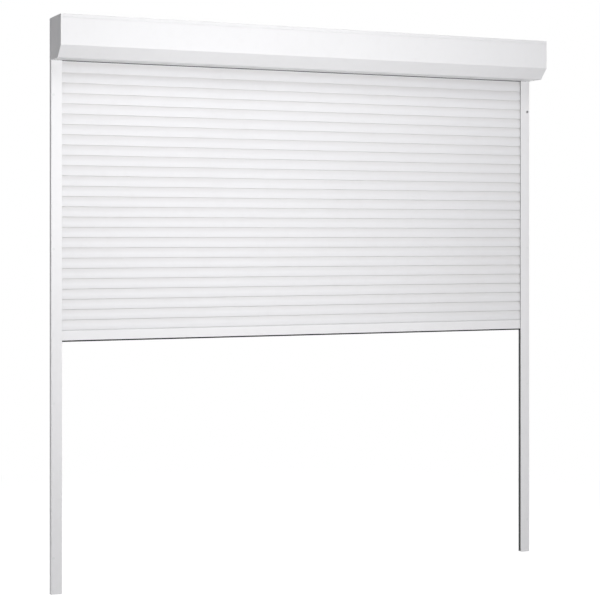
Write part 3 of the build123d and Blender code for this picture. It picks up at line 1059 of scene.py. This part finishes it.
@dataclass
class ShutterBox:
    """The folded panels, the cast end plates, the cover screws and the inlet brush.

    The dome's rings are shares of the head's radius and its height a share of the head's. The point's start and end
    are shares of the shank's length and radius. The cross's arms are a share of its recess.
    """

    shop: Workshop
    names: tuple[str, ...] = (
        "box_top_panel", "box_front_cover", "end_plate_left", "end_plate_right", "cover_screws",
    )
    head_radius: float = 0.0034
    head_height: float = 0.0016
    dome_rings: tuple[float, ...] = (0.12, 0.28, 0.42, 0.56, 0.75, 0.92, 1.0)
    dome_height: float = 0.55
    shank_radius: float = 0.0017
    shank_length: float = 0.0089
    point_start: float = 0.8
    point_end: float = 0.2
    recess_radius: float = 0.0019
    recess_depth: float = 0.0011
    cross_share: float = 0.28
    screw_sides: int = 24
    screw_fold: float = 32.0
    carrier: float = 0.0012
    carrier_height: float = 0.0019
    hem_depth: float = 0.0215
    curtain_clearance: float = 0.0004

    def _screw(self) -> bpy.types.Mesh:
        """A pan-head screw that points up, with a domed head, a cross recess and a pointed shank.

        Returns:
            The screw, with the underside of its head at the origin.
        """
        work = bmesh.new()
        profile = [
            (self.head_radius * share, -self.head_height * (1 - self.dome_height * share**3))
            for share in self.dome_rings
        ]
        profile += [
            (self.head_radius, 0.0),
            (self.shank_radius, 0.0),
            (self.shank_radius, self.shank_length * self.point_start),
            (self.shank_radius * self.point_end, self.shank_length),
        ]
        rings = []
        for radius, height in profile:
            ring = []
            for side in range(self.screw_sides):
                turn = 2 * math.pi * side / self.screw_sides
                x, y = radius * math.cos(turn), radius * math.sin(turn)
                arm = min(abs(x), abs(y)) < self.cross_share * self.recess_radius
                sunk = height < 0 and radius < self.recess_radius and arm
                ring.append(work.verts.new((x, y, height + (self.recess_depth if sunk else 0.0))))
            rings.append(ring)
        for lower, upper in zip(rings, rings[1:]):
            for side in range(self.screw_sides):
                after = (side + 1) % self.screw_sides
                work.faces.new((lower[side], lower[after], upper[after], upper[side]))
        work.faces.new(rings[0][::-1])
        work.faces.new(rings[-1])
        bmesh.ops.recalc_face_normals(work, faces=work.faces)
        mesh = bpy.data.meshes.new("cover screw")
        work.to_mesh(mesh)
        work.free()
        smooth_by_angle(mesh, self.screw_fold)
        return mesh

    def _screws(self) -> None:
        """The four cover screws, two at each end."""
        low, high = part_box("cover_screws")
        head = low.z + self.head_height
        first, last = low.y + self.head_radius, high.y - self.head_radius
        both = bmesh.new()
        for x in (low.x + self.head_radius, high.x - self.head_radius):
            row = Repeater("cover_screw_row", 2, (x, first, head), (0.0, last - first, 0.0))
            both.from_mesh(row.row(self._screw(), self.shop.material("screw_steel")))
        mesh = bpy.data.meshes.new("cover_screws_detailed")
        mesh.materials.append(self.shop.material("screw_steel"))
        both.to_mesh(mesh)
        both.free()
        thing = self.shop.piece("cover_screws_detailed", mesh, "screw_steel")
        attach(thing, "frame")
        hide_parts("cover_screws")

    def _inlet_brush(self) -> None:
        """The dark brush under the cover's hem, which closes the gap in front of the curtain."""
        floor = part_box("box_front_cover")[0].z
        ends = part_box("rail_right")[0].x - self.carrier
        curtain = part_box("slat_01")[0].y - self.curtain_clearance
        face = -self.hem_depth
        height = floor - self.carrier_height / 2
        tuft = Tuft(spread=self.carrier_height / 4)
        start, end = Vector((0.0, face + self.carrier, height)), Vector((0.0, curtain, height))
        unit = tuft.mesh(start, end, Vector((0.0, 0.0, 1.0)))
        count = tuft.fitting(2 * ends)
        row = Repeater("inlet_brush", count, (-ends + tuft.edge, 0.0, 0.0), (tuft.pitch, 0.0, 0.0))
        pile = row.row(unit, self.shop.material("brush_pile"))
        bottom = floor - self.carrier_height
        add_bar(pile, Vector((-ends, face, bottom)), Vector((ends, face + self.carrier, floor)))
        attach(self.shop.piece("inlet_brush", pile, "brush_pile"), "frame")

    def build(self) -> None:
        """Dresses the box and adds its screws and its inlet brush."""
        self.shop.dress(self.names)
        self._screws()
        self._inlet_brush()


@dataclass
class Drive:
    """The shaft, the motor and the bearing inside the box."""

    shop: Workshop
    names: tuple[str, ...] = (
        "motor_bracket", "motor_head", "motor_body", "bearing_bracket", "bearing",
        "shaft_tube", "limit_ring", "drive_wheel", "idler_cap", "curtain_hangers", "wound_slats",
    )

    def build(self) -> None:
        """Dresses the drive and the roll."""
        self.shop.dress(self.names)


@dataclass(frozen=True)
class SlatSection:
    """The hollow slat's closed outline, in metres in front of its back face and above its bottom."""

    pitch: float = SLAT_PITCH
    thick: float = 0.008
    gap: float = 0.002
    front_bottom: float = 0.00752
    front_top: float = 0.0042
    back_top: float = 0.001
    back_middle: float = 0.0012
    nose: float = 0.0009
    nose_turns: tuple[int, ...] = (0, 30, 60)
    crown_height: float = 0.014
    hook_low: float = 0.040
    hook_high: float = 0.0412
    neck: tuple[float, float] = (0.0016, 0.0026)
    hook_front: float = 0.006
    steps: int = 14

    def _arc(self, *ends: tuple[float, float], steps: int) -> list[tuple[float, float]]:
        """Points on the circle through three points.

        Args:
            ends: The first, a middle and the last point.
            steps: How many parts the arc has.

        Returns:
            The points, both ends included.
        """
        (x_1, y_1), (x_2, y_2), (x_3, y_3) = ends
        twice = 2 * (x_1 * (y_2 - y_3) + x_2 * (y_3 - y_1) + x_3 * (y_1 - y_2))
        squares = [x_1**2 + y_1**2, x_2**2 + y_2**2, x_3**2 + y_3**2]
        x = (squares[0] * (y_2 - y_3) + squares[1] * (y_3 - y_1) + squares[2] * (y_1 - y_2)) / twice
        y = (squares[0] * (x_3 - x_2) + squares[1] * (x_1 - x_3) + squares[2] * (x_2 - x_1)) / twice
        radius = math.dist((x, y), ends[0])
        start = math.atan2(y_1 - y, x_1 - x)
        sweep = (math.atan2(y_3 - y, x_3 - x) - start + math.pi) % (2 * math.pi) - math.pi
        turns = [start + sweep * number / steps for number in range(steps + 1)]
        return [(x + radius * math.cos(turn), y + radius * math.sin(turn)) for turn in turns]

    def outline(self) -> list[tuple[float, float]]:
        """The slat's outside with its neck and hook.

        Returns:
            Its depths and heights in order.
        """
        shoulder = self.pitch - self.gap
        nose = [
            (self.front_bottom - self.nose * (1 - math.sin(turn)), self.nose * (1 - math.cos(turn)))
            for turn in map(math.radians, self.nose_turns)
        ]
        front = self._arc(
            (self.front_bottom, 0.0), (self.thick, self.crown_height), (self.front_top, shoulder), steps=self.steps
        )
        front = [point for point in front if point[1] > self.nose]
        back = self._arc(
            (self.back_top, shoulder), (self.back_middle, shoulder / 2), (0.0, 0.0), steps=self.steps // 2
        )
        hook = [
            (self.neck[1], shoulder),
            (self.neck[1], self.hook_low),
            (self.hook_front, self.hook_low),
            (self.hook_front, self.hook_high),
            (self.neck[0], self.hook_high),
            (self.neck[0], shoulder),
        ]
        return nose + front + hook + back


@dataclass
class Curtain:
    """The hanging slats, the slats that pay out as the curtain is lowered, and the bottom bar.

    Kept is how many hanging slats show as they are, and the pay-out slats stand for the others. The pay-out slats
    are gathered at rest in the shape that a blend, following the curtain below the blend's low height and the frame
    above its high one, would make whole when lowered; the blend itself is not set up.
    """

    shop: Workshop
    hanging: int = 28
    kept: int = 26
    blend_low: float = 0.950
    blend_high: float = 1.099
    search_reach: float = 1.0
    halvings: int = 60
    names: tuple[str, ...] = ("slat_clips_left", "slat_clips_right", "bottom_bar", "bottom_seal", "bar_end_caps")

    def _lowered(self, height: float, drop: float) -> float:
        """Where a point of the pay-out piece is when the curtain is fully lowered.

        Args:
            height: The point's height at rest.
            drop: How far the curtain goes down.

        Returns:
            The point's height in the lowered pose.
        """
        share = min(1.0, max(0.0, (self.blend_high - height) / (self.blend_high - self.blend_low)))
        return height - drop * share * share * (3 - 2 * share)

    def _at_rest(self, lowered: float, drop: float) -> float:
        """The rest height of a point, from its height when the curtain is fully lowered.

        Args:
            lowered: The height in the lowered pose.
            drop: How far the curtain goes down.

        Returns:
            The height at rest.
        """
        low, high = self.blend_low - self.search_reach, self.blend_high + self.search_reach
        for _ in range(self.halvings):
            middle = (low + high) / 2
            if self._lowered(middle, drop) < lowered:
                low = middle
            else:
                high = middle
        return (low + high) / 2

    def _paid_out(self) -> None:
        """The slats that come off the roll, gathered in the box at rest in the shape that the blend's full lowering
        would make whole.
        """
        travel = next(joint for joint in frame["joints"] if joint["name"] == "curtain_travel")
        drop = -travel["range_m"][0]
        first, last = f"slat_{self.kept + 1:02d}", f"slat_{self.hanging:02d}"
        low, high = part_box(first)
        section = SlatSection()
        outline = [(high.y - depth, height) for depth, height in section.outline()]
        unit = extruded("paid out slat", outline, low.x, high.x)
        count = int((self.blend_high - (low.z - drop) - section.hook_high) / SLAT_PITCH) + 1
        row = Repeater("paid_out_slats", count, (0.0, 0.0, low.z - drop), (0.0, 0.0, SLAT_PITCH))
        mesh = row.row(unit, PAID_OUT.material())
        share = mesh.attributes.new(PAID_OUT.height_attribute, "FLOAT", "POINT")
        for point in mesh.vertices:
            share.data[point.index].value = (point.co.z - low.z + drop) % SLAT_PITCH / SLAT_PITCH
            point.co.z = self._at_rest(point.co.z, drop)
        mesh.update()
        thing = self.shop.piece("paid_out_slats", mesh, "slat_lacquer")
        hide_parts(first, last)
        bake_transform(thing)

    def build(self) -> None:
        """Dresses the hanging curtain and makes the slats that pay out."""
        self.shop.dress(f"slat_{number:02d}" for number in range(1, self.hanging + 1))
        self.shop.dress(self.names)
        self._paid_out()


def main() -> None:
    """Builds every sub-assembly in order."""
    logging.basicConfig(level=logging.INFO, format="%(name)s: %(message)s")
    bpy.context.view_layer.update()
    Studio().build()
    shop = Workshop()
    for part in (GuideRails(shop), ShutterBox(shop), Drive(shop), Curtain(shop)):
        part.build()
        log.info("finished %s", type(part).__name__)


if __name__ == "__main__":
    main()
